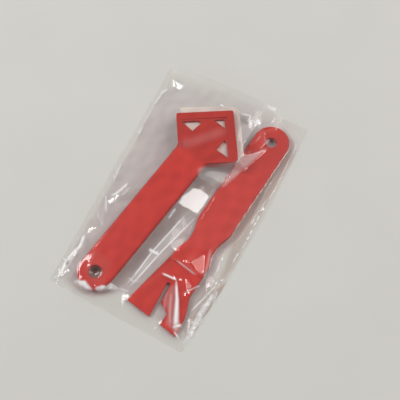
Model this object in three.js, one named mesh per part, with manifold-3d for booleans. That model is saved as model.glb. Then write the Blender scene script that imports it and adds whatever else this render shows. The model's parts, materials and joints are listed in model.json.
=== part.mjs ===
// Sealant finishing set: a smoother with a slide-in pad and a forked remover, lying in a clear bag.
// Millimetres. +Z is up, +Y runs along the bag to its open mouth, the origin is under the bag's middle.

import * as THREE from 'three';
import { mergeVertices } from 'three/addons/utils/BufferGeometryUtils.js';
import Module from 'manifold-3d';

const wasm = await Module();
wasm.setup();

// Bag sizes, with the corners pulled in and the right side bowed out where the bag is squeezed
const bagWidth = 100;
const bagLength = 163;
const leftCornerPull = 1.5;
const leftCornerLift = 3.5;
const rightCornerPull = 8.4;
const mouthCornerPull = 0.7;
const rightSideBow = 3.5;
const filmThickness = 0.3;
const filmCell = 2.4;
const filmAir = 0.4;

// Where the film clings: along the mouth left of the head, and on the remover's grip
const mouthClingWidth = 27;
const gripClingReach = 75;
const gripClingSlant = 36;

// Smoother handle sizes
const handleWidth = 22;
const handleThickness = 4.5;
const handleReach = 91.8;
const handleEdgeWidth = 1.8;
const handleEdgeDrop = 1.2;
const smootherHoleDiameter = 8;
const handleFlare = 3.4;

// Smoother head sizes
const headSide = 36;
const headOffset = 16;
const headCornerRadius = 1.2;
const plateThickness = 2;
const slotHeight = 3.4;
const jawThickness = 1.6;
const jawSide = 22;
const wallThickness = 2.4;
const headTurn = THREE.MathUtils.degToRad(-2.6);
const panelSlope = THREE.MathUtils.degToRad(-1.2);
const backRimWidth = 2.7;
const frontRimWidth = 4.6;
const windowInset = 6;
const frontWindowLeg = 6.5;
const sideWindowLength = 12.4;
const sideWindowDepth = 7;
const sideWindowStart = 3.1;
const sideWindowTrim = 1.5;
const wallRise = 3.4;

// Pad sizes
const padProud = 4.2;
const padSkew = 1;
const padGap = 0.15;
const padNoseRadius = 5;
const padSideChamfer = 3.5;
const padSmallRadius = 0.8;
const padEdge = 0.4;
const padTravel = 46;

// Remover sizes
const gripWidth = 23;
const gripReach = 63;
const gripThickness = 3.5;
const gripEdgeWidth = 1.4;
const gripEdgeDrop = 0.8;
const waistWidth = 17.4;
const waistReach = 80;
const shoulderWidth = 23;
const shoulderRun = 12;
const bladeLength = 42;
const prongStep = 1.6;
const broadProngSpread = 18.8;
const hookProngSpread = 17.25;
const bladeRootThickness = 3;
const bladeTipThickness = 0.9;
const removerHoleDiameter = 7;
const notchRun = 19;
const notchOffset = 3.4;
const notchRadius = 1.2;
const hookReach = 12;
const hookWidth = 6.8;
const edgeBevelWidth = 3;
const edgeBevelDrop = 1.1;

// How the tools lie in the bag: room to its sides and bottom, turns and slopes
const restGap = 0.3;
const smootherSideRoom = 13.7;
const smootherEndRoom = 8.2;
const smootherYaw = THREE.MathUtils.degToRad(-11.8);
const handlePitch = THREE.MathUtils.degToRad(5);
const headTilt = THREE.MathUtils.degToRad(-8);
const removerSideRoom = 5.6;
const removerEndRoom = 6.2;
const removerYaw = THREE.MathUtils.degToRad(-6.7);

// Fineness of round stretches, odd so that no point falls where an S-shaped side turns
// and the overshoot of cutters
const arcSteps = 15;
const overshoot = 1;

// Materials
const redPlastic = new THREE.MeshStandardMaterial({ color: 0xb8302b, roughness: 0.45, metalness: 0 });
const creamPlastic = new THREE.MeshStandardMaterial({ color: 0xdccfc0, roughness: 0.7, metalness: 0 });
const clearFilm = new THREE.MeshStandardMaterial({
  color: 0xf4f4f2, roughness: 0.1, metalness: 0, transparent: true, opacity: 0.25,
});

// Closed solid made from a geometry, for joining and cutting
function solidOf(geometry) {
  geometry.deleteAttribute('normal');
  geometry.deleteAttribute('uv');
  const welded = mergeVertices(geometry, 1e-4);
  return new wasm.Manifold(new wasm.Mesh({
    numProp: 3,
    vertProperties: new Float32Array(welded.attributes.position.array),
    triVerts: new Uint32Array(welded.index.array),
  }));
}

// Geometry made from a closed solid
function geometryOf(solid) {
  const mesh = solid.getMesh();
  const geometry = new THREE.BufferGeometry();
  geometry.setAttribute('position', new THREE.BufferAttribute(mesh.vertProperties, 3));
  geometry.setIndex(new THREE.BufferAttribute(mesh.triVerts, 1));
  geometry.computeVertexNormals();
  return geometry;
}

// Plain prism of an outline between two heights
function prism(shape, bottom, top) {
  const geometry = new THREE.ExtrudeGeometry(shape, {
    depth: top - bottom, bevelEnabled: false, curveSegments: arcSteps,
  });
  return geometry.translate(0, 0, bottom);
}

// Prism of an outline whose upper and lower edges slope inwards
function bevelledPrism(shape, bottom, top, edgeWidth, edgeDrop) {
  const geometry = new THREE.ExtrudeGeometry(shape, {
    depth: top - bottom - 2 * edgeDrop,
    bevelEnabled: true,
    bevelThickness: edgeDrop,
    bevelSize: edgeWidth,
    bevelOffset: -edgeWidth,
    bevelSegments: 2,
    curveSegments: arcSteps,
  });
  return geometry.translate(0, 0, bottom + edgeDrop);
}

// Outline through straight points
function polygon(points) {
  return new THREE.Shape(points.map(([x, y]) => new THREE.Vector2(x, y)));
}

// Upright round bar used as a drill
function drill(diameter, x, y, bottom, top) {
  const shape = new THREE.Shape();
  shape.absarc(x, y, diameter / 2, 0, 2 * Math.PI, false);
  return prism(shape, bottom, top);
}

// Smoother: heights in the head count down from its upper face
const slotTop = -plateThickness;
const slotBottom = slotTop - slotHeight;
const headBottom = slotBottom - jawThickness;
const headHalf = headSide / 2;
const headHalfDiagonal = headHalf * Math.SQRT2;

// Places a geometry drawn square to the head's sides into the smoother's own frame
function placeInHead(geometry, slope = 0) {
  geometry.rotateZ(Math.PI / 4 + headTurn);
  geometry.translate(0, headOffset, 0);
  geometry.rotateX(headTilt + slope);
  return geometry.translate(0, handleReach, handleThickness);
}

// Handle outline: round end about the hang hole, straight sides, flared where it meets the head
function handleOutline() {
  const half = handleWidth / 2;
  const meet = handleReach + headOffset - headHalfDiagonal + half;
  const lean = handleFlare * Math.SQRT1_2;
  const shape = new THREE.Shape();
  shape.absarc(0, 0, half, Math.PI, 2 * Math.PI, false);
  shape.lineTo(half, meet - handleFlare);
  shape.quadraticCurveTo(half, meet, half + lean, meet + lean);
  shape.lineTo(half + lean, meet + 2 * handleFlare);
  shape.lineTo(-half - lean, meet + 2 * handleFlare);
  shape.lineTo(-half - lean, meet + lean);
  shape.quadraticCurveTo(-half, meet, -half, meet - handleFlare);
  return shape;
}

function roundedSquare(half, radius) {
  const shape = new THREE.Shape();
  shape.moveTo(-half + radius, -half);
  shape.lineTo(half - radius, -half);
  shape.absarc(half - radius, -half + radius, radius, -Math.PI / 2, 0, false);
  shape.lineTo(half, half - radius);
  shape.absarc(half - radius, half - radius, radius, 0, Math.PI / 2, false);
  shape.lineTo(-half + radius, half);
  shape.absarc(-half + radius, half - radius, radius, Math.PI / 2, Math.PI, false);
  shape.lineTo(-half, -half + radius);
  shape.absarc(-half + radius, -half + radius, radius, Math.PI, 1.5 * Math.PI, false);
  return shape;
}

// Windows over the pad: a corner triangle at the front and one triangle along each front edge
function windowShapes() {
  const edge = headHalf - windowInset;
  const start = -headHalf + sideWindowStart;
  const end = start + sideWindowLength;
  const front = [[edge, edge], [edge - frontWindowLeg, edge], [edge, edge - frontWindowLeg]];
  const left = [
    [start, edge],
    [(start + end) / 2, edge - sideWindowDepth],
    [end, edge - sideWindowTrim],
    [end - sideWindowTrim, edge],
  ];
  const right = left.map(([x, y]) => [y, x]).reverse();
  return [front, left, right].map(polygon);
}

// Cutter for the recessed panel on the head's upper face
function panelCutter() {
  const low = -headHalf + backRimWidth;
  const high = headHalf - frontRimWidth;
  const panel = polygon([[low, low], [high, low], [high, high], [low, high]]);
  return prism(panel, 0, overshoot);
}

// Cutters that leave the lower jaw only at the rear of the pocket
function jawCutters() {
  const rear = -headHalf + wallThickness;
  const front = headHalf + overshoot;
  const jawEnd = -headHalf + jawSide;
  const low = headBottom - overshoot;
  const middle = slotBottom + slotHeight / 2;
  const alongRight = polygon([[jawEnd, rear], [front, rear], [front, front], [jawEnd, front]]);
  const alongLeft = polygon([[rear, jawEnd], [front, jawEnd], [front, front], [rear, front]]);
  return [prism(alongRight, low, middle), prism(alongLeft, low, middle)];
}

// Cutters that let each rear wall taper upwards to its corner of the head
function wallCutters() {
  const jawEnd = -headHalf + jawSide;
  const front = headHalf + overshoot;
  const slope = wallRise / (headHalf - jawEnd);
  const wedge = polygon([
    [jawEnd, headBottom],
    [jawEnd, headBottom - overshoot],
    [front, headBottom - overshoot],
    [front, headBottom + slope * (front - jawEnd)],
  ]);
  const reach = headSide + 2 * overshoot;
  const across = prism(wedge, -reach / 2, reach / 2).rotateX(Math.PI / 2);
  const along = across.clone().rotateZ(Math.PI / 2);
  return [across, along];
}

function smootherBody() {
  const handle = bevelledPrism(handleOutline(), 0, handleThickness, handleEdgeWidth, handleEdgeDrop);
  const head = prism(roundedSquare(headHalf, headCornerRadius), headBottom, 0);
  const inner = -headHalf + wallThickness;
  const outer = headHalf + overshoot;
  const slot = polygon([[inner, inner], [outer, inner], [outer, outer], [inner, outer]]);
  const overHead = new THREE.BoxGeometry(2 * headSide, 2 * headSide, headSide);
  overHead.translate(0, headSide, headSide / 2).rotateX(headTilt);
  overHead.translate(0, handleReach, handleThickness);
  const overHandle = new THREE.BoxGeometry(2 * headSide, 2 * headSide, headSide);
  overHandle.translate(0, handleReach - headSide, handleThickness + headSide / 2);
  let body = solidOf(handle).add(solidOf(placeInHead(head)));
  body = body.subtract(solidOf(overHead)).subtract(solidOf(overHandle));
  body = body.subtract(solidOf(placeInHead(prism(slot, slotBottom, slotTop))));
  body = body.subtract(solidOf(placeInHead(panelCutter(), panelSlope)));
  for (const shape of windowShapes()) {
    body = body.subtract(solidOf(placeInHead(prism(shape, slotTop - overshoot, overshoot))));
  }
  for (const cutter of [...jawCutters(), ...wallCutters()]) {
    body = body.subtract(solidOf(placeInHead(cutter)));
  }
  const hole = drill(smootherHoleDiameter, 0, 0, -overshoot, handleThickness + overshoot);
  return geometryOf(body.subtract(solidOf(hole)));
}

// Pad: square with four different corners, standing out past the two front edges of the head
function smoothingPad() {
  const low = -headHalf + wallThickness + padGap;
  const high = headHalf + padProud;
  const shape = new THREE.Shape();
  shape.moveTo(low + padSideChamfer, low);
  shape.lineTo(high - padSideChamfer, low);
  shape.lineTo(high, low + padSideChamfer);
  shape.lineTo(high, high - padNoseRadius);
  shape.absarc(high - padNoseRadius, high - padNoseRadius, padNoseRadius, 0, Math.PI / 2, false);
  const left = high + padSkew;
  shape.lineTo(low + padSmallRadius, left);
  shape.absarc(low + padSmallRadius, left - padSmallRadius, padSmallRadius, Math.PI / 2, Math.PI, false);
  shape.lineTo(low, low + padSideChamfer);
  return placeInHead(bevelledPrism(shape, slotBottom + padGap, slotTop - padGap, padEdge, padEdge));
}

// Remover: reaches count from the hang hole towards the blade
const shoulderReach = waistReach + shoulderRun;
const notchReach = shoulderReach + notchRun;
const bladeReach = shoulderReach + bladeLength;
const broadProngReach = bladeReach - prongStep;

// Remover grip: round end about the hang hole, straight sides, drawn in to a waist, then out to the
// shoulders
function gripOutline() {
  const half = gripWidth / 2;
  const waist = waistWidth / 2;
  const shoulder = shoulderWidth / 2;
  const bend = shoulderRun / 2;
  const middle = (gripReach + waistReach) / 2;
  const shape = new THREE.Shape();
  shape.absarc(0, 0, half, 0, Math.PI, false);
  shape.lineTo(-half, -gripReach);
  shape.bezierCurveTo(-half, -middle, -waist, -middle, -waist, -waistReach);
  shape.bezierCurveTo(
    -waist, -waistReach - bend,
    -shoulder, -shoulderReach + bend,
    -shoulder, -shoulderReach,
  );
  shape.lineTo(-shoulder, -shoulderReach - bend);
  shape.lineTo(shoulder, -shoulderReach - bend);
  shape.lineTo(shoulder, -shoulderReach);
  shape.bezierCurveTo(shoulder, -shoulderReach + bend, waist, -waistReach - bend, waist, -waistReach);
  shape.bezierCurveTo(waist, -middle, half, -middle, half, -gripReach);
  return shape;
}

// Fork outline: a broad scraping prong on the left, a hooked prong on the right, a notch between
function forkOutline() {
  const shoulder = shoulderWidth / 2;
  const throat = -notchReach;
  const hook = throat - hookReach;
  const tooth = -notchOffset + 2 * notchRadius;
  const shape = new THREE.Shape();
  shape.moveTo(shoulder, -shoulderReach);
  shape.lineTo(-shoulder, -shoulderReach);
  shape.lineTo(-broadProngSpread, -broadProngReach);
  shape.lineTo(-notchOffset + notchRadius, -broadProngReach - notchRadius);
  shape.lineTo(-notchOffset - notchRadius, throat);
  shape.quadraticCurveTo(-notchOffset, throat + notchRadius, -notchOffset + notchRadius, throat);
  shape.lineTo(tooth, hook);
  shape.lineTo(tooth + hookWidth, hook - hookWidth / 2);
  shape.lineTo(tooth + hookWidth, -bladeReach);
  shape.lineTo(hookProngSpread, -bladeReach - notchRadius);
  shape.lineTo(hookProngSpread - notchRadius, hook);
  shape.lineTo(shoulder, throat);
  return shape;
}

// Cutter for the sloped scraping edge along the outside of the left prong
function edgeBevelCutter() {
  const shoulder = shoulderWidth / 2;
  const run = new THREE.Vector2(shoulder - broadProngSpread, shoulderReach - broadProngReach);
  const slope = edgeBevelDrop / edgeBevelWidth;
  const wedge = polygon([
    [-overshoot, bladeTipThickness - slope * overshoot],
    [edgeBevelWidth, bladeTipThickness + edgeBevelDrop],
    [edgeBevelWidth, gripThickness + overshoot],
    [-overshoot, gripThickness + overshoot],
  ]);
  const cutter = prism(wedge, 0, run.length() + overshoot).rotateX(Math.PI / 2);
  cutter.rotateZ(run.angle() + Math.PI / 2);
  return cutter.translate(-shoulder, -shoulderReach, 0);
}

function sealantRemover() {
  const grip = bevelledPrism(gripOutline(), 0, gripThickness, gripEdgeWidth, gripEdgeDrop);
  const fork = prism(forkOutline(), 0, bladeRootThickness);
  const root = -shoulderReach;
  const slope = (bladeRootThickness - bladeTipThickness) / bladeLength;
  const end = -bladeReach - 2 * notchRadius;
  const taper = polygon([
    [root, bladeRootThickness],
    [end, bladeTipThickness - 2 * slope * notchRadius],
    [end, gripThickness + overshoot],
    [root, gripThickness + overshoot],
  ]);
  const bladeWidth = broadProngSpread + hookProngSpread;
  const cutter = prism(taper, -bladeWidth, bladeWidth).rotateX(Math.PI / 2).rotateZ(Math.PI / 2);
  const hole = drill(removerHoleDiameter, 0, 0, -overshoot, gripThickness + overshoot);
  const blade = solidOf(fork).subtract(solidOf(cutter)).subtract(solidOf(edgeBevelCutter()));
  return geometryOf(solidOf(grip).add(blade).subtract(solidOf(hole)));
}

// Meshes of the two tools, grouped where each tool lies
const smoother = new THREE.Group();
smoother.name = 'smoother';
smoother.rotation.order = 'ZXY';
smoother.rotation.set(handlePitch, 0, smootherYaw);
const endDrop = (handleWidth / 2) * Math.sin(handlePitch);
smoother.position.set(
  -bagWidth / 2 + smootherSideRoom + handleWidth / 2,
  -bagLength / 2 + smootherEndRoom + handleWidth / 2,
  filmThickness + restGap + endDrop,
);

const body = new THREE.Mesh(smootherBody(), redPlastic);
body.name = 'smoother_body';
const pad = new THREE.Mesh(smoothingPad(), creamPlastic);
pad.name = 'smoothing_pad';
smoother.add(body, pad);

const remover = new THREE.Mesh(sealantRemover(), redPlastic);
remover.name = 'sealant_remover';
remover.rotation.z = removerYaw;
const removerTip = new THREE.Vector2(hookProngSpread, -bladeReach - notchRadius);
removerTip.rotateAround(new THREE.Vector2(), removerYaw);
remover.position.set(
  bagWidth / 2 - removerSideRoom - gripWidth / 2,
  -bagLength / 2 + removerEndRoom - removerTip.y,
  filmThickness + restGap,
);

// Place on the bag at shares of its width and length, spread evenly between its four sides
function bagPlace(acrossShare, alongShare) {
  const down = 1 - alongShare;
  const left = -bagWidth / 2 + leftCornerPull * down;
  const cornerPull = mouthCornerPull * alongShare + rightCornerPull * down;
  const right = bagWidth / 2 - cornerPull + 4 * rightSideBow * alongShare * down;
  const bottom = -bagLength / 2 + leftCornerLift * (1 - acrossShare);
  const x = left + (right - left) * acrossShare;
  const y = bottom + (bagLength / 2 - bottom) * alongShare;
  return new THREE.Vector3(x, y, 0);
}

// Back film: flat sheet under both tools, with its bowed side in as many steps as the front film
const columns = Math.round(bagWidth / filmCell);
const rows = Math.round(bagLength / filmCell);
const bagOutline = [bagPlace(0, 1), bagPlace(0, 0)];
for (let j = 0; j <= rows; j += 1) bagOutline.push(bagPlace(1, j / rows));
const backShape = polygon(bagOutline.map((place) => [place.x, place.y]));
const backFilm = new THREE.Mesh(prism(backShape, 0, filmThickness), clearFilm);
backFilm.name = 'bag_back_film';

// Front film: heights of some meshes under each point of a half-cell grid, seen from above
function heightsOf(meshes) {
  const ray = new THREE.Raycaster();
  const down = new THREE.Vector3(0, 0, -1);
  const heights = [];
  for (let j = 0; j <= 2 * rows; j += 1) {
    const line = [];
    for (let i = 0; i <= 2 * columns; i += 1) {
      ray.set(bagPlace(i / (2 * columns), j / (2 * rows)).setZ(bagWidth), down);
      const hit = ray.intersectObjects(meshes)[0];
      line.push(hit ? hit.point.z : 0);
    }
    heights.push(line);
  }
  return heights;
}

// Tools as they lie, with the pad also at stops on its way out of the head and the bag's mouth
function toolHeights() {
  smoother.updateMatrixWorld(true);
  remover.updateMatrixWorld(true);
  const stops = [0, 0.35, 0.7, 1];
  const layers = [heightsOf([body, remover])];
  for (const share of stops) {
    pad.position.set(0, Math.cos(headTilt), Math.sin(headTilt)).multiplyScalar(share * padTravel);
    pad.updateMatrixWorld(true);
    layers.push(heightsOf([pad]));
  }
  pad.position.set(0, 0, 0);
  pad.updateMatrixWorld(true);
  return layers[0].map((line, j) => line.map((_, i) => Math.max(...layers.map((layer) => layer[j][i]))));
}

// Lowest height the film may have at each grid point, clear of every tool within two half cells
function filmFloor() {
  const heights = toolHeights();
  const reach = 2;
  const floor = [];
  for (let j = 0; j <= rows; j += 1) {
    const line = [];
    for (let i = 0; i <= columns; i += 1) {
      let top = 0;
      for (let b = Math.max(0, 2 * j - reach); b <= Math.min(2 * rows, 2 * j + reach); b += 1) {
        for (let a = Math.max(0, 2 * i - reach); a <= Math.min(2 * columns, 2 * i + reach); a += 1) {
          top = Math.max(top, heights[b][a]);
        }
      }
      line.push(top > 0 ? top + filmAir : filmThickness);
    }
    floor.push(line);
  }
  return floor;
}

// Whether the film clings to what lies under it: right of a slanting line from the remover's hang hole
// down its grip, and along the mouth left of the head
function clings(i, j) {
  const place = bagPlace(i / columns, j / rows);
  const onRemover = remover.worldToLocal(place.clone());
  const reach = -onRemover.y;
  const leftSide = -(gripWidth / 2) * Math.min(1, reach / gripClingSlant);
  const alongGrip = reach > -gripWidth / 2 && reach < gripClingReach;
  const onGrip = alongGrip && onRemover.x > leftSide && onRemover.x < gripWidth / 2;
  const atMouth = j === rows && place.x < -bagWidth / 2 + mouthClingWidth;
  return onGrip || atMouth;
}

// Film drawn tight over the tools: welded to the back film on three sides, free along the mouth
function filmHeights() {
  const floor = filmFloor();
  const height = floor.map((line) => [...line]);
  const sweeps = 300;
  const overstep = 1.85;
  const welded = (i, j) => i < 2 || i > columns - 2 || j < 2;
  const fixed = height.map((line, j) => line.map((_, i) => welded(i, j) || clings(i, j)));
  for (let j = 0; j <= rows; j += 1) {
    for (let i = 0; i <= columns; i += 1) {
      if (welded(i, j)) height[j][i] = filmThickness;
    }
  }
  for (let sweep = 0; sweep < sweeps; sweep += 1) {
    for (let j = 2; j <= rows; j += 1) {
      const above = j < rows ? j + 1 : j - 1;
      for (let i = 2; i <= columns - 2; i += 1) {
        const mean = (height[j][i - 1] + height[j][i + 1] + height[j - 1][i] + height[above][i]) / 4;
        const moved = height[j][i] + overstep * (mean - height[j][i]);
        if (!fixed[j][i]) height[j][i] = Math.max(floor[j][i], moved);
      }
    }
  }
  return height;
}

// Closed sheet of even thickness over a grid of heights
function sheetOver(height) {
  const positions = [];
  const faces = [];
  const perLayer = (columns + 1) * (rows + 1);
  for (const lift of [0, filmThickness]) {
    for (let j = 0; j <= rows; j += 1) {
      for (let i = 0; i <= columns; i += 1) {
        const place = bagPlace(i / columns, j / rows);
        positions.push(place.x, place.y, height[j][i] + lift);
      }
    }
  }
  const at = (i, j, layer) => layer * perLayer + j * (columns + 1) + i;
  const quad = (a, b, c, d) => faces.push(a, b, c, a, c, d);
  for (let j = 0; j < rows; j += 1) {
    for (let i = 0; i < columns; i += 1) {
      quad(at(i, j, 1), at(i + 1, j, 1), at(i + 1, j + 1, 1), at(i, j + 1, 1));
      quad(at(i, j + 1, 0), at(i + 1, j + 1, 0), at(i + 1, j, 0), at(i, j, 0));
    }
  }
  for (let i = 0; i < columns; i += 1) {
    quad(at(i, 0, 0), at(i + 1, 0, 0), at(i + 1, 0, 1), at(i, 0, 1));
    quad(at(i + 1, rows, 0), at(i, rows, 0), at(i, rows, 1), at(i + 1, rows, 1));
  }
  for (let j = 0; j < rows; j += 1) {
    quad(at(0, j + 1, 0), at(0, j, 0), at(0, j, 1), at(0, j + 1, 1));
    quad(at(columns, j, 0), at(columns, j + 1, 0), at(columns, j + 1, 1), at(columns, j, 1));
  }
  const geometry = new THREE.BufferGeometry();
  geometry.setAttribute('position', new THREE.Float32BufferAttribute(positions, 3));
  geometry.setIndex(faces);
  geometry.computeVertexNormals();
  return geometry;
}

const frontFilm = new THREE.Mesh(sheetOver(filmHeights()), clearFilm);
frontFilm.name = 'bag_front_film';

const set = new THREE.Group();
set.name = 'sealant_finishing_set';
set.add(backFilm, frontFilm, smoother, remover);

export default set;
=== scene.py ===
# %% [markdown]
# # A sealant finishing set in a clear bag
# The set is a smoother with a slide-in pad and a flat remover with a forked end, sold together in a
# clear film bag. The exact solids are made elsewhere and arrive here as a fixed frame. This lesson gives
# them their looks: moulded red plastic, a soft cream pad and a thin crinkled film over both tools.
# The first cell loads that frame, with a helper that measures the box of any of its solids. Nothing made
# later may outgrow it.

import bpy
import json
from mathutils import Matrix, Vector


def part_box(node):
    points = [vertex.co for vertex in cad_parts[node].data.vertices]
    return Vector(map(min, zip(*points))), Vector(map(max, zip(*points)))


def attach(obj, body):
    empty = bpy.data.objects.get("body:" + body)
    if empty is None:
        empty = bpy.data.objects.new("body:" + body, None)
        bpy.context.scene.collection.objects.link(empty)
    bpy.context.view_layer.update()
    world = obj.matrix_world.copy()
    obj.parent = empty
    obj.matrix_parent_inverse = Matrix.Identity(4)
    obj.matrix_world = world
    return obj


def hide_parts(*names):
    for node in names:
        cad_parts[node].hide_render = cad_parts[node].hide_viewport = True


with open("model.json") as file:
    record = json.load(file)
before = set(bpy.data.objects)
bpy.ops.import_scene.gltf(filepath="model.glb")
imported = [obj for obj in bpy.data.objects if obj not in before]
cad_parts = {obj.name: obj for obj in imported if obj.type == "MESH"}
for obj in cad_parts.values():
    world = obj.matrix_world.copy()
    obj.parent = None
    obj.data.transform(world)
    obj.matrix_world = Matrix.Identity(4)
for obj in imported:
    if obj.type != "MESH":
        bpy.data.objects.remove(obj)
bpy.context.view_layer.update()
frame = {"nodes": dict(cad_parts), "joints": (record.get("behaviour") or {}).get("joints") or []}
print("solids:", sorted(frame["nodes"]))

# %% [markdown]
# ## The camera
# A set of creases can only be compared with a photograph from the photograph's own place, so the camera
# comes first. It looks down steeply, turned a little round the bag, and one picture element covers
# 0.62 mm on the floor where it aims. The helper `seen_at` runs the other way: it gives the point at a
# chosen height that shows at a chosen picture element, which is how the creases are laid out later.

# %% Camera
import math
import bpy
import numpy as np
from mathutils import Vector

MM = 0.001
PICTURE_SIDE = 400
ELEMENT_SIZE = 0.62 * MM
CAMERA_DISTANCE = 500 * MM
CAMERA_RISE = math.radians(69.5)
CAMERA_TURN = math.radians(26.5)
AIM = Vector((9.1, 7.67, 0)) * MM

look_right = Vector((math.cos(CAMERA_TURN), math.sin(CAMERA_TURN), 0))
look_away = Vector((-math.sin(CAMERA_TURN), math.cos(CAMERA_TURN), 0))
to_camera = Vector((0, 0, math.sin(CAMERA_RISE))) - look_away * math.cos(CAMERA_RISE)
look_up = to_camera.cross(look_right)

lens = bpy.data.cameras.new("picture_lens")
lens.angle = 2 * math.atan(PICTURE_SIDE / 2 * ELEMENT_SIZE / CAMERA_DISTANCE)
camera = bpy.data.objects.new("picture_camera", lens)
camera.location = AIM + to_camera * CAMERA_DISTANCE
camera.rotation_euler = (-to_camera).to_track_quat("-Z", "Y").to_euler()
bpy.context.scene.collection.objects.link(camera)
bpy.context.scene.camera = camera


def seen_at(column, row, level):
    """The point at a height that shows at a column and row of the picture."""
    half = PICTURE_SIDE / 2
    aside = (look_right * (column - half) + look_up * (half - row)) * ELEMENT_SIZE
    way = aside - to_camera * CAMERA_DISTANCE
    return camera.location + way * ((level - camera.location.z) / way.z)


print("lens angle:", round(math.degrees(lens.angle), 2), "degrees")

# %% [markdown]
# ## Writing shader maths as plain sums
# A material is a tree of nodes. Wiring every Math node by hand hides the idea, so one small class wraps
# a socket: adding or multiplying two of them adds the Math node that does it. All other nodes come from
# its `node` method, which sets the node's own settings first and then fills or links its sockets.

# %% Socket class
class Wire:
    """An output socket of a node tree that can stand in a sum like a number."""

    def __init__(self, tree, socket=None):
        self.tree = tree
        self.socket = socket

    def node(self, kind, settings=None, sockets=None, out=0):
        """Adds a node, gives it its settings, then the values or links of its sockets."""
        made = self.tree.nodes.new(kind)
        for name, value in (settings or {}).items():
            if name == "stops":
                self.set_stops(made.color_ramp, value)
            else:
                setattr(made, name, value)
        for name, value in (sockets or {}).items():
            if isinstance(value, Wire):
                self.tree.links.new(value.socket, made.inputs[name])
            else:
                made.inputs[name].default_value = value
        return Wire(self.tree, made.outputs[out] if made.outputs else None)

    @staticmethod
    def set_stops(ramp, stops):
        """Gives a ramp one stop for each pair of a place and a grey level."""
        while len(ramp.elements) < len(stops):
            ramp.elements.new(1)
        for element, (place, level) in zip(ramp.elements, stops):
            element.position = place
            element.color = (level, level, level, 1)

    def sum(self, operation, first, second):
        return self.node("ShaderNodeMath", {"operation": operation}, {0: first, 1: second})

    def blend(self, share, first, second):
        """Mixes two colours by a share from 0 to 1."""
        sockets = {0: share, 6: first, 7: second}
        return self.node("ShaderNodeMix", {"data_type": "RGBA"}, sockets, out=2)

    def __add__(self, other):
        return self.sum("ADD", self, other)

    def __sub__(self, other):
        return self.sum("SUBTRACT", self, other)

    def __rsub__(self, other):
        return self.sum("SUBTRACT", other, self)

    def __mul__(self, other):
        return self.sum("MULTIPLY", self, other)

    __radd__ = __add__
    __rmul__ = __mul__


def new_finish(name):
    """An empty material and the wire that builds its tree."""
    material = bpy.data.materials.new(name)
    material.use_nodes = True
    material.node_tree.nodes.clear()
    return material, Wire(material.node_tree)


def clouds(tree, place, size, detail=3.0):
    """Soft random clouds of about the given size in metres, from 0 to 1."""
    sockets = {"Vector": place, "Scale": 1 / size, "Detail": detail}
    return tree.node("ShaderNodeTexNoise", None, sockets)


print("shader sums ready")

# %% [markdown]
# ## Floor and light
# The set lies on a plain pale grey floor. A soft lamp low at the left gives the main light, a weaker warm
# one stands at the right, and the world fills in the rest. Film shows itself by what it mirrors, so two
# small brighter lamps stand higher up for the panes of the film to catch, and the world has pale walls
# but a dark ceiling, which keeps a grey veil off the film where it lies flat.

# %% Floor
FLOOR_HALF = 1.5
FLOOR_DRIFT = 60 * MM
FLOOR_GREYS = [(0.575, 0.57, 0.545, 1), (0.62, 0.615, 0.59, 1)]


def make_floor_finish():
    material, tree = new_finish("pale_floor")
    place = tree.node("ShaderNodeTexCoord", out=3)
    grey = tree.blend(clouds(tree, place, FLOOR_DRIFT), *FLOOR_GREYS)
    body = tree.node("ShaderNodeBsdfPrincipled", None, {"Base Color": grey, "Roughness": 0.8})
    tree.node("ShaderNodeOutputMaterial", None, {"Surface": body})
    return material


floor_mesh = bpy.data.meshes.new("floor")
floor_corners = [(x * FLOOR_HALF, y * FLOOR_HALF, 0) for x, y in ((-1, -1), (1, -1), (1, 1), (-1, 1))]
floor_mesh.from_pydata(floor_corners, [], [(0, 1, 2, 3)])
floor_mesh.materials.append(make_floor_finish())
floor = bpy.data.objects.new("floor", floor_mesh)
bpy.context.scene.collection.objects.link(floor)
print("floor", 2 * FLOOR_HALF, "m wide")

# %% Lamps
LAMP_DISTANCE = 1.6
LAMPS = {
    "main_softbox": dict(aside=-0.95, away=0.3, rise=42, width=0.53, brightness=11.5),
    "warm_softbox": dict(aside=0.9, away=0.3, rise=48, width=0.95, brightness=3.4, colour=(1, 0.95, 0.9)),
    "window_right": dict(aside=0.85, away=0.35, rise=63, width=0.26, brightness=9),
    "window_left": dict(aside=-0.85, away=0.35, rise=63, width=0.2, brightness=16),
}

bpy.context.scene.view_settings.view_transform = "Standard"


def lamp(name, aside, away, rise, width, brightness, colour=(1, 1, 1)):
    """A square lamp of a set brightness, placed by the picture's sides and its rise in degrees."""
    level = math.cos(math.radians(rise))
    direction = (look_right * aside + look_away * away).normalized() * level
    direction += Vector((0, 0, math.sin(math.radians(rise))))
    light = bpy.data.lights.new(name, "AREA")
    light.size = width
    light.energy = brightness * math.pi * width * width
    light.color = colour
    made = bpy.data.objects.new(name, light)
    made.location = AIM + direction * LAMP_DISTANCE
    made.rotation_euler = direction.to_track_quat("Z", "Y").to_euler()
    bpy.context.scene.collection.objects.link(made)
    return made


lamps = {name: lamp(name, **settings) for name, settings in LAMPS.items()}
print("lamps:", sorted(lamps))

# %% World
WALL_GREY, CEILING_GREY = 0.66, 0.14
WALL_TOP, CEILING_EDGE = 0.45, 0.85


def make_studio_world():
    world = bpy.data.worlds.new("studio")
    world.use_nodes = True
    world.node_tree.nodes.clear()
    tree = Wire(world.node_tree)
    direction = tree.node("ShaderNodeTexCoord")
    rise = tree.node("ShaderNodeSeparateXYZ", None, {0: direction}, out=2)
    stops = [(WALL_TOP, WALL_GREY), (CEILING_EDGE, CEILING_GREY)]
    room = tree.node("ShaderNodeValToRGB", {"stops": stops}, {"Fac": rise})
    sky = tree.node("ShaderNodeBackground", None, {"Color": room})
    tree.node("ShaderNodeOutputWorld", None, {"Surface": sky})
    return world


bpy.context.scene.world = make_studio_world()
print("made", bpy.context.scene.world.name)
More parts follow.
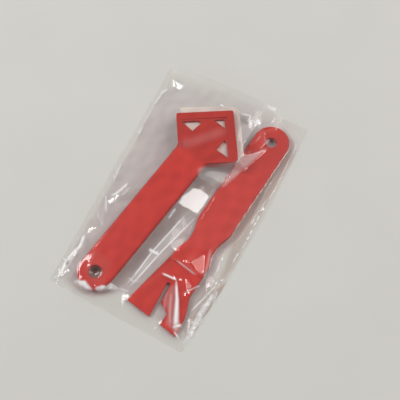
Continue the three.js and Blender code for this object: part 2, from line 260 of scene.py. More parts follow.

# %% [markdown]
# ## Moulded red plastic
# Both tools are injection moulded in one red. The surface is not one flat colour: the melt leaves faint
# lighter clouds, the mould's spark-eroded face leaves a grain a third of a millimetre across, and the
# shine varies with both. The grain is a Bump, because it is far too fine to model, and a Bevel node under
# it softens the sharp edges of the solids. From the bend onwards the head of the smoother gets painted
# shade: its red is deepened there to stand for the shade that lies on it.

# %% Red plastic
MELT_REDS = [(0.60, 0.031, 0.018, 1), (0.70, 0.051, 0.031, 1)]
# Painted shade on the head of the smoother: a deeper red mixed in from the bend onwards.
HEAD_SHADE_RED = (0.10, 0.004, 0.003, 1)
HEAD_SHADE_SHARE = 0.18
BEND_SEEN = (191, 158)
BEND_LEVEL = 12 * MM
BEND_START, BEND_END = -1 * MM, 3 * MM
MELT_SIZE, GRAIN_SIZE, HANDLING_SIZE = 14 * MM, 0.35 * MM, 4 * MM
RED_ROUGHNESS, HANDLED_ROUGHNESS, GRAIN_ROUGHNESS = 0.36, 0.16, 0.06
RED_EDGE = 0.35 * MM


def make_red_plastic(name, head_start=None):
    material, tree = new_finish(name)
    place = tree.node("ShaderNodeTexCoord", out=3)
    melt = clouds(tree, place, MELT_SIZE)
    grain = clouds(tree, place, GRAIN_SIZE, 2.0)
    handling = clouds(tree, place, HANDLING_SIZE, 5.0)
    red = tree.blend(melt, *MELT_REDS)
    # Painted shade: the red deepens past the bend, over the whole head.
    if head_start is not None:
        point, axis = head_start
        away = tree.node("ShaderNodeVectorMath", {"operation": "SUBTRACT"}, {0: place, 1: point})
        ahead = tree.node("ShaderNodeVectorMath", {"operation": "DOT_PRODUCT"}, {0: away, 1: axis}, out=1)
        head_shade = tree.node("ShaderNodeMapRange", None, {0: ahead, 1: BEND_START, 2: BEND_END})
        red = tree.blend(HEAD_SHADE_SHARE * head_shade, red, HEAD_SHADE_RED)
    soft_edge = tree.node("ShaderNodeBevel", {"samples": 6}, {"Radius": RED_EDGE})
    pores = tree.node("ShaderNodeBump", None, {
        "Strength": 0.25,
        "Distance": 0.05 * MM,
        "Height": grain,
        "Normal": soft_edge,
    })
    body = tree.node("ShaderNodeBsdfPrincipled", None, {
        "Base Color": red,
        "Roughness": RED_ROUGHNESS + HANDLED_ROUGHNESS * handling + GRAIN_ROUGHNESS * grain,
        "Specular IOR Level": 0.35,
        "Normal": pores,
    })
    tree.node("ShaderNodeOutputMaterial", None, {"Surface": body})
    return material


pad_slide = next(joint for joint in frame["joints"] if joint["name"] == "pad_slide")
handle_axis = Vector(pad_slide["axis"])
smoother_red = make_red_plastic("moulded_red_smoother", (seen_at(*BEND_SEEN, BEND_LEVEL), handle_axis))
remover_red = make_red_plastic("moulded_red_remover")
print("made", smoother_red.name, "and", remover_red.name)

# %% [markdown]
# ## Cream pad
# The pad is a softer, paler plastic with a dry face. Its colour drifts a little between warm white and
# cream, and small dark specks of dust lie on it.

# %% Cream pad finish
CREAMS = [(0.73, 0.68, 0.60, 1), (0.82, 0.78, 0.71, 1)]
DUST_BROWN = (0.30, 0.24, 0.19, 1)
DUST_SHARE = 0.12
DUST_STOPS = [(0.62, 0.0), (0.72, 1.0)]
DRIFT_SIZE, SPECK_SIZE, SKIN_SIZE = 9 * MM, 0.9 * MM, 0.3 * MM
CREAM_ROUGHNESS, DRIFT_ROUGHNESS = 0.58, 0.14
CREAM_EDGE = 0.4 * MM


def make_cream_plastic():
    material, tree = new_finish("soft_cream_plastic")
    place = tree.node("ShaderNodeTexCoord", out=3)
    drift = clouds(tree, place, DRIFT_SIZE)
    specks = clouds(tree, place, SPECK_SIZE, 1.0)
    dust = tree.node("ShaderNodeValToRGB", {"stops": DUST_STOPS}, {"Fac": specks})
    dusty = tree.blend(DUST_SHARE * dust, tree.blend(drift, *CREAMS), DUST_BROWN)
    soft_edge = tree.node("ShaderNodeBevel", {"samples": 6}, {"Radius": CREAM_EDGE})
    skin = tree.node("ShaderNodeBump", None, {
        "Strength": 0.2,
        "Distance": 0.04 * MM,
        "Height": clouds(tree, place, SKIN_SIZE, 2.0),
        "Normal": soft_edge,
    })
    body = tree.node("ShaderNodeBsdfPrincipled", None, {
        "Base Color": dusty,
        "Roughness": CREAM_ROUGHNESS + DRIFT_ROUGHNESS * drift,
        "Normal": skin,
    })
    tree.node("ShaderNodeOutputMaterial", None, {"Surface": body})
    return material


cream_plastic = make_cream_plastic()
print("made", cream_plastic.name)

# %% [markdown]
# ## Clear film
# Thin film lets nearly all light straight through and mirrors a little of it, more at a slant. A glass
# shader would bend the light and blacken the shadows, so this one mixes a Transparent shader with a
# Glossy one by a Fresnel value, and lets the light of the lamps past the mirror. The front film's mesh
# stores four more things at each point. The haze value greys what shows through the film, and over the
# smoother's hang hole and round the remover's end it is painted shade. The layers value tints it warmer,
# where the film is doubled and as painted shade beside the remover and over the hang hole. The crease value
# whitens it, where the film is bent hard and as painted highlights and painted reflections. Each of these
# is the share of a further shader. `shine` is added to the mirror's share where the film is stretched.

# %% Film finish
CLEAR_TINT = (1, 0.995, 0.99, 1)
# A grey tint for haze, also used as painted shade.
HAZE_AND_SHADE_TINT = (0.72, 0.66, 0.73, 1)
# A warm tint for doubled film, also used as painted shade.
DOUBLED_AND_SHADE_TINT = (0.76, 0.63, 0.57, 1)
# A white for hard creases, also used for painted highlights and painted reflections.
CREASE_AND_HIGHLIGHT_WHITE = (0.9, 0.9, 0.9, 1)
FRONT_GLOSS, BACK_GLOSS = 1.2, 0.3


def make_clear_film(name, gloss):
    material, tree = new_finish(name)

    def stored(attribute):
        return tree.node("ShaderNodeAttribute", {"attribute_name": attribute}, out=2)

    def mixed(share, first, second):
        return tree.node("ShaderNodeMixShader", None, {0: share, 1: first, 2: second})

    def see_through(colour):
        return tree.node("ShaderNodeBsdfTransparent", None, {"Color": colour})

    lamp_light = tree.node("ShaderNodeLightPath", out=1)
    fresnel = tree.node("ShaderNodeFresnel", None, {"IOR": 1.5})
    mirror = tree.node("ShaderNodeBsdfGlossy", None, {"Color": (1, 1, 1, 1), "Roughness": 0.09})
    white = tree.node("ShaderNodeBsdfDiffuse", None, {"Color": CREASE_AND_HIGHLIGHT_WHITE})
    # The haze, the warm tint and the white also carry painted shade and painted highlights.
    film = mixed(stored("haze"), see_through(CLEAR_TINT), see_through(HAZE_AND_SHADE_TINT))
    film = mixed(stored("layers"), film, see_through(DOUBLED_AND_SHADE_TINT))
    film = mixed((gloss * fresnel + stored("shine")) * (1 - lamp_light), film, mirror)
    film = mixed(stored("crease"), film, white)
    tree.node("ShaderNodeOutputMaterial", None, {"Surface": film})
    return material


front_finish = make_clear_film("clear_front_film", FRONT_GLOSS)
back_finish = make_clear_film("clear_back_film", BACK_GLOSS)
print("made", front_finish.name, "and", back_finish.name)

# %% [markdown]
# ## The two tools and the pad
# The solids already have the right shape, but they arrive as loose flat facets. Each is copied and its
# doubled points are welded. Faces that meet at a small angle are then shaded as one round surface, and a
# Weighted Normal keeps the large flat faces flat. The edges themselves are softened by the finish. The
# copy stands for the solid and rides on the same body.

# %% Tool copies
import bmesh

ROUND_ANGLE = math.radians(20)
WELD_REACH = 0.002 * MM


def welded_copy(source):
    """A copy of a mesh with its doubled points welded and its gentle edges shaded round."""
    shell = bmesh.new()
    shell.from_mesh(source)
    bmesh.ops.remove_doubles(shell, verts=shell.verts, dist=WELD_REACH)
    mesh = bpy.data.meshes.new(source.name + "_welded")
    shell.to_mesh(mesh)
    shell.free()
    mesh.shade_smooth()
    mesh.set_sharp_from_angle(angle=ROUND_ANGLE)
    return mesh


def dressed(name, node, body, finish):
    """A welded copy of a solid that stands for it, with its finish."""
    piece = bpy.data.objects.new(name, welded_copy(frame["nodes"][node].data))
    bpy.context.scene.collection.objects.link(piece)
    piece.data.materials.append(finish)
    flats = piece.modifiers.new("flat_faces", "WEIGHTED_NORMAL")
    flats.keep_sharp = True
    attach(piece, body)
    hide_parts(node)
    print(name, "has", len(piece.data.polygons), "faces")
    return piece


smoother = dressed("smoother", "smoother_body", "smoother", smoother_red)
remover = dressed("remover", "sealant_remover", "remover", remover_red)
dressed("pad", "smoothing_pad", "pad", cream_plastic)

# %% [markdown]
# ## Where the film may lie
# The bag has been squeezed a little out of square and bows out at its right side, so a grid of points is
# spread between the four corners of its back film and given the same bow. Each point looks straight down
# at the solids and keeps the height of the first thing it meets. The pad is tried at several places along
# its slide too, so that the film leaves room for it to be pulled out of the bag's mouth. Film can't stand
# upright beside a tool, so the heights fall away from every edge in a steep ramp.

# %% Grid over the bag
FILM_CELL = 0.6 * MM

bag_low, bag_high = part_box("bag_back_film")
columns = round((bag_high.x - bag_low.x) / FILM_CELL)
rows = round((bag_high.y - bag_low.y) / FILM_CELL)
across, along = np.meshgrid(np.linspace(0, 1, columns + 1), np.linspace(0, 1, rows + 1))
back_points = [v.co.copy() for v in frame["nodes"]["bag_back_film"].data.vertices]
corner_ways = [(-1, -1), (1, -1), (-1, 1), (1, 1)]
bag_corners = [max(back_points, key=lambda p: p.x * x + p.y * y) for x, y in corner_ways]


def spread(low_left, low_right, high_left, high_right):
    """Values over the grid that run evenly between four corners."""
    low = low_left + (low_right - low_left) * across
    high = high_left + (high_right - high_left) * across
    return low + (high - low) * along


low_right, high_right = bag_corners[1], bag_corners[3]
slant = (high_right.x - low_right.x) / (high_right.y - low_right.y)
side_bow = max(p.x - low_right.x - slant * (p.y - low_right.y) for p in back_points)
# The factor 4 makes the bow full halfway along the side, and it is nothing at the corners.
grid_x = spread(*[corner.x for corner in bag_corners]) + 4 * side_bow * along * (1 - along) * across
grid_y = spread(*[corner.y for corner in bag_corners])
print("grid", grid_x.shape, "with a bow of", round(side_bow / MM, 2), "mm")

# %% Heights under the film
from mathutils.bvhtree import BVHTree

FILM_CLEARANCE = 0.25 * MM
WELD_LEVEL = 0.25 * MM
WELD_WIDTH = 3 * MM
STEEPEST = math.tan(math.radians(72))
TOOL_ROOM_CELLS, RAMP_CELLS, RAMP_ROUNDS = 3, 8, 3
PAD_STOPS = (0, 0.35, 0.7, 1)
SKY = 50 * MM


def tops_of(node, shift=Vector()):
    """Height of a shifted solid under each grid point, or 0 where there is none."""
    mesh = frame["nodes"][node].data
    tree = BVHTree.FromPolygons([v.co for v in mesh.vertices], [p.vertices for p in mesh.polygons])
    tops = np.zeros(grid_x.shape)
    for cell in np.ndindex(grid_x.shape):
        start = Vector((grid_x[cell], grid_y[cell], SKY)) - shift
        hit = tree.ray_cast(start, Vector((0, 0, -1)))[0]
        if hit is not None:
            tops[cell] = hit.z + shift.z
    return tops


def beside(field):
    """The field moved by one cell to each of four sides."""
    framed = np.pad(field, 1, mode="edge")
    return [framed[1:-1, :-2], framed[1:-1, 2:], framed[:-2, 1:-1], framed[2:, 1:-1]]


def widened(field, cells):
    """Each point takes the highest value within some cells of it."""
    for _ in range(cells):
        field = np.maximum.reduce([field, *beside(field)])
    return field


def ramped(field, cells):
    """The field with a steep ramp down from each edge."""
    for _ in range(cells):
        field = np.maximum.reduce([field, *[side - STEEPEST * FILM_CELL for side in beside(field)]])
    return field


def feathered(field, rounds):
    """The field with its edges spread a little further in each round."""
    for _ in range(rounds):
        field = (field + sum(beside(field))) / 5
    return field


pad_way = handle_axis * pad_slide["range_m"][1]
pad_path = np.maximum.reduce([tops_of("smoothing_pad", pad_way * stop) for stop in PAD_STOPS])
both_tools = np.maximum(tops_of("smoother_body"), tops_of("sealant_remover"))
tool_tops = widened(both_tools, TOOL_ROOM_CELLS)
under = np.maximum(tool_tops, widened(pad_path, TOOL_ROOM_CELLS))
weld_cells = round(WELD_WIDTH / FILM_CELL)
welded = np.ones(grid_x.shape, bool)
welded[weld_cells:, weld_cells:-weld_cells] = False
ramps = feathered(ramped(under, RAMP_CELLS), RAMP_ROUNDS)
film_floor = np.maximum(WELD_LEVEL, ramps + FILM_CLEARANCE)
film_floor[welded & (under == 0)] = WELD_LEVEL
print("highest place under the film", round(film_floor.max() / MM, 2), "mm")

# %% [markdown]
# ## Pulling the film tight
# A stretched film takes the height of the average of its neighbours wherever nothing holds it, as a soap
# skin does. Going over the grid again and again, and stepping a little past the average each time, finds
# that shape in a few hundred rounds. The sides and the bottom are welded down, and the mouth is free.

# %% Tight film
OVERSTEP = 1.97
ROUNDS = 500

chess = (np.indices(grid_x.shape).sum(0) % 2).astype(bool)


def drape(start, held):
    """The film pulled tight over its floor, keeping the held points of its start."""
    height = start.copy()
    for turn in range(2 * ROUNDS):
        mean = sum(beside(height)) / 4
        moved = np.maximum(film_floor, height + OVERSTEP * (mean - height))
        free = ~held & (chess == bool(turn % 2))
        height = np.where(free, moved, height)
    return height


tight = drape(np.where(welded, WELD_LEVEL, film_floor), welded)
print("tight film mean height", round(tight.mean() / MM, 2), "mm")

# %% [markdown]
# ## Where the film clings
# Film also clings to what it lies on. `on_film` finds where on the film a place in the picture lies, by a
# few tries at the film's height, and `inside` tells which grid points an outline of such places holds.
# Each cling is an outline over a tool, over the bare floor or along the mouth, and the film is pressed
# down there and pulled tight once more.

# %% Clings
from mathutils.kdtree import KDTree

CLINGS = {
    "remover_grip": ("tool", [(270, 148), (262, 122), (296, 124), (296, 150), (238, 256), (180, 246),
                              (216, 186)]),
    "remover_side": ("tool", [(270, 148), (222, 188), (240, 150), (252, 124), (264, 120)]),
    "smoother_end": ("tool", [(84, 268), (97, 250), (112, 262), (104, 284), (90, 284)]),
    "mouth_left": ("mouth", [(172, 75), (203, 88), (201, 92), (171, 79)]),
    "mouth_right": ("floor", [(250, 100), (306, 122), (297, 160), (284, 130), (258, 114)]),
    "right_side": ("floor", [(262, 196), (268, 200), (250, 232), (226, 276), (214, 276), (222, 256),
                             (240, 226)]),
    "bottom": ("floor", [(70, 286), (122, 290), (146, 312), (172, 338), (182, 356), (120, 330)]),
}
FLOOR_REACH = 5
HEIGHT_TRIES = 4

spots = KDTree(grid_x.size)
for number, (x, y) in enumerate(zip(grid_x.flat, grid_y.flat)):
    spots.insert((x, y, 0), number)
spots.balance()


def cell_at(point):
    """Row and column of the grid point nearest to a point."""
    return divmod(spots.find((point.x, point.y, 0))[1], columns + 1)


def on_film(column, row, lift, film):
    """The point above the film by a lift that shows at a place in the picture."""
    point = seen_at(column, row, lift)
    for _ in range(HEIGHT_TRIES):
        point = seen_at(column, row, film[cell_at(point)] + lift)
    return point


def inside(outline):
    """Which grid points lie inside an outline of points, by counting crossings."""
    within = np.zeros(grid_x.shape, bool)
    for a, b in zip(outline, outline[1:] + outline[:1]):
        spans = (a.y > grid_y) != (b.y > grid_y)
        rise = (b.y - a.y) or 1
        within ^= spans & (grid_x < a.x + (b.x - a.x) * (grid_y - a.y) / rise)
    return within


grounds = {"tool": tool_tops > 0, "mouth": along == 1, "floor": widened(under, FLOOR_REACH) == 0}
pressed = np.zeros(grid_x.shape, bool)
for ground, places in CLINGS.values():
    pressed |= inside([on_film(*place, 0, film_floor) for place in places]) & grounds[ground]
tight = drape(np.where(pressed, film_floor, tight), welded | pressed)
print("film clings at", int(pressed.sum()), "points")

# %% [markdown]
# ## Panes that catch a lamp
# Packed film is never only tight: it breaks into flat panes, and a pane shines where it faces halfway
# between a lamp and the eye. The main panes are outlined by places in the picture. Each hangs from one
# place a little above the film, in a plane that is turned to the halfway line of its lamp. One more pane
# is stretched between three places, from the corner of the head down to the remover, and faces as it must.
# Where the film clings to the floor, it lets go in a narrow ring round the panes.

# %% Panes
LET_GO_CELLS = 4
CORNER_ROOM = 1 * MM
PANES = {
    "gap_pane": ([(192, 183), (213, 195), (199, 219), (175, 203)], (194, 201), 2.4, "window_right"),
    "gap_upper": ([(202, 169), (216, 166), (232, 163), (224, 187), (217, 186), (211, 178)], (214, 174), 0.3,
                  "warm_softbox"),
    "fork_slant": ([(189, 262), (209, 253), (208, 266), (197, 275)], (201, 264), 0.7, "warm_softbox"),
    "fork_side": ([(184, 276), (194, 286), (186, 296)], (188, 286), 0.7, "warm_softbox"),
    "left_high": ([(107, 201), (112, 195), (116, 199), (110, 206)], (111, 200), 0.4, "window_left"),
    "left_low": ([(88, 229), (92, 225), (96, 228), (91, 233)], (92, 229), 0.4, "window_left"),
    "left_chain": ([(71, 256), (75, 247), (79, 246), (74, 258)], (75, 252), 0.3, "window_left"),
    "left_tip": ([(57, 279), (62, 266), (66, 263), (61, 277)], (61, 271), 0.3, "window_left"),
    "top_corner": ([(171, 79), (184, 84), (180, 92)], (178, 85), 0.8, "window_left"),
}
STRETCHED = [(268, 148), (239, 155), (222, 189)]

folded = tight.copy()
panes = np.zeros(grid_x.shape, bool)


def lay_plane(outline, hook, facing):
    """Lays the film inside an outline in a plane through a point, and tells where."""
    plane = hook.z - (facing.x * (grid_x - hook.x) + facing.y * (grid_y - hook.y)) / facing.z
    within = inside(outline) & ~welded
    folded[within] = np.maximum(film_floor, plane)[within]
    return within


for places, hung_from, lift, lamp_name in PANES.values():
    hook = on_film(*hung_from, lift * MM, tight)
    halfway = (lamps[lamp_name].location - hook).normalized() + (camera.location - hook).normalized()
    panes |= lay_plane([on_film(*place, lift * MM, tight) for place in places], hook, halfway)
hole_end, head_corner, edge_end = [on_film(*place, 0, film_floor) for place in STRETCHED]
triangle = [hole_end, head_corner, edge_end]
panes |= lay_plane(triangle, hole_end, (head_corner - hole_end).cross(edge_end - hole_end))
stretched = inside(triangle) & (film_floor < head_corner.z - CORNER_ROOM)
held = welded | panes | (pressed & ((tool_tops > 0) | ~widened(panes, LET_GO_CELLS)))
print("panes hold", int(panes.sum()), "points,", int(stretched.sum()), "of them stretched")

# %% [markdown]
# ## Creases and painted highlights
# Between the panes run sharp folds. Each is a line of places in the picture with a lift above the tight
# film, a share of white and the width of that white at its start and its end. The white is partly real,
# because film whitens where it is bent hard, and partly a painted highlight for the film's glints; a line
# with no lift is only a painted highlight. The film is held along the folds and pulled tight for the last
# time, so that it falls away from each of them as handled film does. A glint is a very short fold painted
# white as a highlight. A veil is an outlined place painted milky or white all over, mostly as painted
# highlights and reflections and in part as milky film.

# %% Lists of creases and painted highlights
FINE, BROAD, WIDE, VERY_WIDE = [(width * MM, width * MM) for width in (0.7, 1.2, 2, 5)]
SPREADING = (0.5 * MM, 2.3 * MM)
CREASES_AND_HIGHLIGHTS = {
    "pleat_left": ([(191, 209), (152, 252), (131, 280), (123, 288)], 0.9, 0.75, FINE),
    "pleat_right": ([(200, 213), (161, 252), (135, 281), (125, 291)], 0.9, 0.8, FINE),
    "pleat_middle": ([(195, 211), (156, 252), (129, 285)], None, 0.24, WIDE),
    "pleat_short": ([(168, 219), (176, 208)], 0.6, 0.6, FINE),
    "gap_veil": ([(190, 205), (170, 232), (140, 272)], None, 0.05, VERY_WIDE),
    "pleat_knot": ([(149, 249), (154, 252), (160, 255)], 1.4, 0.9, BROAD),
    "pleat_cross": ([(128, 277), (133, 281), (139, 281)], 1.0, 0.5, FINE),
    "fork_cross": ([(162, 273), (177, 280)], 0.8, 0.9, FINE),
    "fork_streak": ([(176, 277), (177, 300), (176, 320), (176, 333)], 0.8, 1.0, SPREADING),
    "fork_foot": ([(173, 327), (181, 325)], 0.8, 1.0, BROAD),
    "fork_tip": ([(174, 331), (179, 339)], 0.4, 0.8, FINE),
    "fork_fold": ([(175, 259), (197, 276)], 0.6, 0.35, FINE),
    "fork_under": ([(200, 285), (183, 294)], 0.5, 0.35, FINE),
    "fork_edge": ([(211, 247), (208, 264), (203, 283)], None, 0.22, BROAD),
    "hook_streak": ([(172, 288), (170, 308), (170, 330)], None, 0.30, BROAD),
    "hook_side": ([(168, 290), (165, 300), (164, 312)], None, 0.22, FINE),
    "knot": ([(214, 283), (219, 282), (224, 279)], 1.0, 0.35, BROAD),
    "fan_inner": ([(219, 283), (205, 297), (189, 313)], 1.6, 0.8, FINE),
    "fan_middle": ([(219, 283), (211, 299), (192, 322)], 0.4, 0.6, FINE),
    "fan_outer": ([(220, 284), (212, 308), (190, 335)], 1.4, 0.7, FINE),
    "fan_rim": ([(218, 287), (210, 300), (202, 312), (193, 329), (184, 348)], 0.8, 1.0, WIDE),
    "fan_side": ([(208, 297), (198, 314), (183, 346)], 0.4, 0.8, FINE),
    "fan_tip": ([(190, 318), (187, 336), (182, 348)], 0.6, 0.7, FINE),
    "rim_strip": ([(289, 154), (262, 200), (243, 240), (224, 276)], 0.5, 0.25, BROAD),
    "rim_middle": ([(247, 240), (242, 249)], 0.4, 0.8, FINE),
    "rim_low": ([(239, 252), (232, 264)], 0.4, 0.9, FINE),
    "grip_line": ([(285, 158), (263, 198), (243, 234)], 0.5, 0.15, FINE),
    "left_line": ([(122, 162), (112, 183)], 0.6, 0.6, FINE),
    "left_upright": ([(106, 193), (106, 213)], 0.4, 0.5, FINE),
    "left_streak": ([(110, 197), (118, 192), (129, 182)], 0.6, 0.65, BROAD),
    "left_beside": ([(121, 196), (131, 186)], 0.4, 0.3, FINE),
    "left_fine": ([(97, 209), (101, 224)], 0.3, 0.22, FINE),
    "left_thin": ([(103, 211), (102, 228)], 0.3, 0.22, FINE),
    "left_knot": ([(84, 235), (81, 244)], 0.5, 0.9, BROAD),
    "left_edge": ([(77, 247), (66, 261), (56, 281)], 0.6, 1.0, BROAD),
    "left_link": ([(83, 237), (80, 246), (76, 250)], 0.5, 0.9, BROAD),
    "left_inner": ([(78, 250), (68, 266), (60, 279)], 0.4, 0.5, FINE),
    "end_sweep": ([(96, 249), (90, 262), (89, 275)], 0.3, 0.14, FINE),
    "end_left": ([(75, 281), (84, 283), (91, 289)], 0.6, 0.9, FINE),
    "end_middle": ([(95, 288), (104, 286), (107, 289)], 0.6, 0.9, FINE),
    "end_right": ([(105, 288), (111, 284), (119, 289)], 0.6, 0.9, FINE),
    "end_rim": ([(117, 288), (130, 292)], 0.6, 0.4, FINE),
    "top_streak": ([(152, 107), (162, 93), (169, 87)], 0.5, 0.5, BROAD),
    "top_line": ([(134, 140), (152, 109)], 0.4, 0.3, FINE),
    "pad_glint": ([(240, 113), (251, 116), (248, 121), (257, 121)], 0.7, 0.6, FINE),
    "pad_spot": ([(220, 104), (224, 106)], 0.5, 0.9, FINE),
    "head_band": ([(176, 147), (200, 139), (230, 129)], None, 0.07, VERY_WIDE),
}
# Glints: painted highlights, each laid as a short white dash.
GLINTS = [(262, 209), (258, 218), (255, 224), (251, 232), (248, 238), (140, 131), (257, 121)]
# Veils: places painted white or milky, mostly as painted highlights and painted reflections.
HIGHLIGHT_AND_MILK_VEILS = {
    "gap_upper": ([(198, 168), (216, 166), (236, 162), (225, 187), (214, 186), (198, 177)], 0.2),
    "hook_prong": ([(170, 286), (176, 284), (174, 332), (165, 324), (168, 312), (163, 300)], 0.12),
    "left_low": ([(86, 232), (98, 226), (84, 258), (66, 286), (58, 280)], 0.1),
    "right_fold": ([(229, 243), (220, 280), (206, 280), (214, 258)], 0.12),
    "fan_fold": ([(217, 284), (206, 292), (190, 317), (196, 320)], 0.25),
    "corner_facet": ([(269, 147), (240, 157), (221, 189)], 0.34),
    "chain_high": ([(76, 248), (78, 251), (71, 260), (67, 263), (70, 255)], 0.8),
    "chain_low": ([(66, 263), (67, 266), (61, 276), (58, 278)], 0.8),
    "end_left": ([(74, 281), (85, 281), (92, 290), (84, 288)], 1.0),
    "end_middle": ([(94, 289), (104, 285), (107, 289), (99, 291)], 1.0),
    "end_right": ([(105, 289), (111, 284), (120, 290)], 1.0),
}
print(len(CREASES_AND_HIGHLIGHTS), "creases,", len(GLINTS), "glints and", len(HIGHLIGHT_AND_MILK_VEILS), "veils")

# %% Laid creases and painted highlights
CREASE_STEP = 0.4
CREASE_ENDS = 1 / 5
WHITE_CORE = 1.2
GLINT_ASIDE, GLINT_ALONG = 1.5, 3
GLINT_LIFT, GLINT_HIGHLIGHT_WHITE = 0.4, 1.0
SOFT_ROUNDS = 2


def along_line(places, lift):
    """Points on the film along a line of picture places, how far along they are and how strong there."""
    ends = [Vector(place) for place in places]
    lengths = [(b - a).length for a, b in zip(ends, ends[1:])]
    gone = 0.0
    for a, b, length in zip(ends, ends[1:], lengths):
        for step in np.arange(0, length, CREASE_STEP):
            share = (gone + step) / sum(lengths)
            fade = min(1, share / CREASE_ENDS, (1 - share) / CREASE_ENDS)
            yield on_film(*a.lerp(b, step / length), lift * fade, tight), share, fade
        gone += length


def lay_crease_and_highlight(places, lift, whiteness, width):
    """Holds the film along a line, if it has a lift, and whitens the film beside it as a crease and a
    painted highlight.
    """
    for point, share, fade in along_line(places, (lift or 0) * MM):
        cell = cell_at(point)
        if lift is not None and not welded[cell] and not panes[cell]:
            folded[cell] = max(film_floor[cell], point.z)
            held[cell] = True
        reach = width[0] + (width[1] - width[0]) * share
        away = np.hypot(grid_x - point.x, grid_y - point.y) / reach
        np.maximum(whitening_and_highlights, whiteness * fade * np.clip(WHITE_CORE - away, 0, 1), out=whitening_and_highlights)


whitening_and_highlights = np.zeros(grid_x.shape)
for crease in CREASES_AND_HIGHLIGHTS.values():
    lay_crease_and_highlight(*crease)
for column, row in GLINTS:
    ends = [(column - GLINT_ASIDE, row + GLINT_ALONG), (column + GLINT_ASIDE, row - GLINT_ALONG)]
    lay_crease_and_highlight(ends, GLINT_LIFT, GLINT_HIGHLIGHT_WHITE, FINE)
folded = np.maximum(film_floor, feathered(drape(folded, held), SOFT_ROUNDS))
for places, whiteness in HIGHLIGHT_AND_MILK_VEILS.values():
    highlight_and_milk_veil = inside([on_film(*place, 0, folded) for place in places]).astype(float)
    np.maximum(whitening_and_highlights, whiteness * feathered(highlight_and_milk_veil, SOFT_ROUNDS), out=whitening_and_highlights)
print("points held inside the welds:", int(held.sum() - welded.sum()))

# %% [markdown]
# ## Fine crinkles
# The rest of the film is covered in small facets. Adding up triangle waves that run in random directions
# gives exactly that: flat facets with sharp edges in between. They are strong along the welded borders,
# round the end of the handle and at the bottom fold, and gone where the film lies on the tools.

# %% Crinkles
LOOSE_FACETS = (9 * MM, 0.013, 5)
CRUMPLE_FACETS = (3.2 * MM, 0.07, 5)
CRUMPLED_PLACES = {"smoother_end": ((104, 290), 12 * MM), "bottom_fold": ((196, 338), 20 * MM)}
EDGE_REACH = 9 * MM
LOOSE_LIFT = 2 * MM
LEAST_STRETCH, MOST_STRETCH = 0.7, 1.4
WOBBLE_SHARE, WOBBLE_WAVES = 0.25, 3

crinkle_dice = np.random.default_rng(7)


def facets(wave_length, slope, count):
    """Sum of triangle waves in random directions, with a set slope for each."""
    total = np.zeros(grid_x.shape)
    for _ in range(count):
        least, most = (0, 0, LEAST_STRETCH), (math.pi, 1, MOST_STRETCH)
        angle, phase, stretch = crinkle_dice.uniform(least, most)
        length = wave_length * stretch
        ahead = grid_x * math.cos(angle) + grid_y * math.sin(angle)
        aside = grid_x * math.sin(angle) - grid_y * math.cos(angle)
        wobble = WOBBLE_SHARE * np.sin(2 * math.pi * aside / (WOBBLE_WAVES * length))
        total += slope * length / 2 * np.abs(2 * ((ahead / length + phase + wobble) % 1) - 1)
    return total - total.mean()


def near(place, reach):
    """1 at a place in the picture, falling to 0 at a reach in metres round it."""
    point = on_film(*place, 0, tight)
    return np.clip(1 - np.hypot(grid_x - point.x, grid_y - point.y) / reach, 0, 1)


border = np.minimum.reduce([across * columns, (1 - across) * columns, along * rows]) * FILM_CELL
edge_share = np.clip(1 - border / EDGE_REACH, 0, 1)
end_share = np.maximum.reduce([near(*place) for place in CRUMPLED_PLACES.values()])
loose = np.clip((folded - film_floor) / LOOSE_LIFT, 0, 1) * ~panes
crinkle = facets(*LOOSE_FACETS) * loose
crinkle += facets(*CRUMPLE_FACETS) * np.maximum(edge_share * (under == 0), end_share * loose) * ~panes
front_height = np.where(welded, np.maximum(WELD_LEVEL, WELD_LEVEL + crinkle), folded + crinkle)
front_height = np.maximum(film_floor, front_height)
print("crinkle depth", round(np.ptp(crinkle) / MM, 2), "mm")

# %% [markdown]
# ## What the film stores
# The finish asks for four values at each point. White comes from the laid creases and painted highlights,
# broken up along the borders and in the crumpled places, and from how sharply a cell bends off the tools.
# A trace of it lies all over, a little more where the film clings, and most where it lies on the floor, so
# that the bag's border melts into the floor. Haze is mottled, grows with the film's height and fades
# towards the free mouth; it is strongest round the remover's end and over the smoother's hang hole, as
# painted shade. Doubled film runs down the right side, and its warm tint there is partly painted shade
# beside the remover; the same tint is painted shade over the hang hole. The stretched pane has more shine
# and no haze.

# %% White on the film, with painted highlights
MILK, CLING_MILK, FLOOR_MILK = 0.018, 0.034, 0.13
BEND_LEAST, BEND_WHITE = 0.8, 0.25
LYING_HEIGHT, RAISED_HEIGHT = 0.4 * MM, 2 * MM
BROKEN_SHARE, BROKEN_SHARPNESS = 0.35, 2
SPECKLE_CONTRAST, SPECKLE_START, SPECKLE_ROUNDS = 4, 1.5, 2
SEEN_SHARE = 0.2

bend = np.abs(sum(beside(front_height)) - 4 * front_height) / FILM_CELL
sharp = np.clip(bend / BEND_LEAST - 1, 0, 1) * (tool_tops == 0)
raised = np.clip((front_height - LYING_HEIGHT) / (RAISED_HEIGHT - LYING_HEIGHT), 0, 1)
noise = feathered(crinkle_dice.random(grid_x.shape), SPECKLE_ROUNDS)
speckle = np.clip(SPECKLE_CONTRAST * noise - SPECKLE_START, 0, 1)
crumpled = np.minimum(1, BROKEN_SHARPNESS * np.maximum(edge_share, end_share))
broken = 1 - BROKEN_SHARE * speckle * crumpled
milk = np.where(pressed, CLING_MILK, MILK) * raised + FLOOR_MILK * (1 - raised)
# The white lines are partly real crease whitening and partly painted highlights.
front_white_and_highlights = np.maximum.reduce([whitening_and_highlights * broken, BEND_WHITE * sharp, milk])
print("whitened points", int((front_white_and_highlights > SEEN_SHARE).sum()))

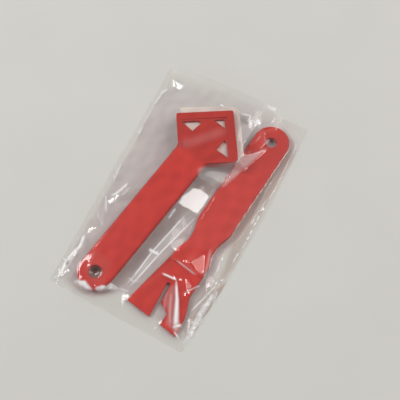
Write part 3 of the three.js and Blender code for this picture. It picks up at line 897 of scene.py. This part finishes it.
# %% Haze, doubled film, painted shade and shine
HAZE_SHARE, MOTTLE_SHARE = 0.3, 0.45
MOTTLE_FACETS, MOTTLE_DEPTH = (11 * MM, 1, 4), 5 * MM
MOUTH_FADE = 14 * MM
# Painted shade: more haze and a warm tint over the smoother's hang hole, and more haze round the remover's
# end.
HANG_HOLE, HOLE_SHARPNESS, HOLE_SHADE_HAZE, HOLE_SHADE_TINT = ((95, 271), 4.6 * MM), 4, 0.5, 0.9
REMOVER_END, END_SHARPNESS, END_SHADE_HAZE = ((268, 132), 42 * MM), 2, 0.5
STRETCH_SHINE = 0.08
# Doubled film, partly painted shade along the remover's right edge and in the fan.
DOUBLED_AND_SHADED = {
    "strip": ([(290, 150), (294, 157), (264, 208), (236, 262), (222, 284), (219, 281), (230, 252),
               (234, 238), (250, 208), (270, 178)], 0.5),
    "fan": ([(227, 282), (218, 302), (194, 338), (186, 338), (192, 314), (208, 290)], 0.75),
}
DOUBLED_AND_SHADED_ROUNDS = 6

mottle = 1 + MOTTLE_SHARE * np.clip(facets(*MOTTLE_FACETS) / MOTTLE_DEPTH, -1, 1)
to_mouth = np.clip((1 - along) * rows * FILM_CELL / MOUTH_FADE, 0, 1)
hang_hole_shade = np.minimum(1, HOLE_SHARPNESS * near(*HANG_HOLE))
remover_end_shade = np.minimum(1, END_SHARPNESS * near(*REMOVER_END))
facet_share = feathered(stretched.astype(float), 1)
# Over the hang hole and round the remover's end the haze is painted shade.
hazes_and_shades = [HAZE_SHARE * raised * mottle, HOLE_SHADE_HAZE * hang_hole_shade, END_SHADE_HAZE * remover_end_shade * raised]
front_haze_and_shade = np.maximum.reduce(hazes_and_shades) * to_mouth * (1 - facet_share)
front_shine = STRETCH_SHINE * facet_share
# Painted shade: the warm tint deepens the hang hole.
front_doubled_and_shade = HOLE_SHADE_TINT * hang_hole_shade
for places, share in DOUBLED_AND_SHADED.values():
    doubled_and_shaded = inside([on_film(*place, 0, tight) for place in places]).astype(float)
    front_doubled_and_shade = np.maximum(front_doubled_and_shade, share * feathered(doubled_and_shaded, DOUBLED_AND_SHADED_ROUNDS))
print("most haze", round(float(front_haze_and_shade.max()), 2))
print("doubled points", int((front_doubled_and_shade > SEEN_SHARE).sum()))

# %% [markdown]
# ## The film sheets
# Each film is one surface without thickness, as thin as it looks. The front sheet takes the heights found
# above. The back sheet lies on the floor with the same fine facets pressed almost flat.

# %% Front and back film
BACK_LEVEL, BACK_LOWEST, BACK_HIGHEST = 0.1 * MM, 0.02 * MM, 0.2 * MM
BACK_SHARE = 0.1


def film_sheet(name, height, stored, finish, node):
    """A sheet over the grid at the given heights that stands for one film of the bag, with its finish."""
    index = np.arange(height.size).reshape(height.shape)
    corners = [index[:-1, :-1], index[:-1, 1:], index[1:, 1:], index[1:, :-1]]
    quads = np.column_stack([corner.ravel() for corner in corners])
    points = np.column_stack([grid_x.ravel(), grid_y.ravel(), height.ravel()])
    mesh = bpy.data.meshes.new(name)
    mesh.from_pydata(points.tolist(), [], quads.tolist())
    for attribute, values in stored.items():
        mesh.attributes.new(attribute, "FLOAT", "POINT").data.foreach_set("value", values.ravel())
    mesh.shade_smooth()
    mesh.materials.append(finish)
    piece = bpy.data.objects.new(name, mesh)
    bpy.context.scene.collection.objects.link(piece)
    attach(piece, "bag")
    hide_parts(node)
    print(name, "has", len(mesh.polygons), "faces")
    return piece


back_height = np.clip(BACK_LEVEL + BACK_SHARE * crinkle, BACK_LOWEST, BACK_HIGHEST)
back_film = film_sheet("back_film", back_height, {}, back_finish, "bag_back_film")
front_stored = {"crease": front_white_and_highlights, "haze": front_haze_and_shade, "layers": front_doubled_and_shade, "shine": front_shine}
film_sheet("front_film", front_height, front_stored, front_finish, "bag_front_film")

# %% [markdown]
# ## Closing
# The last cell only imports json.

# %% Closing
import json
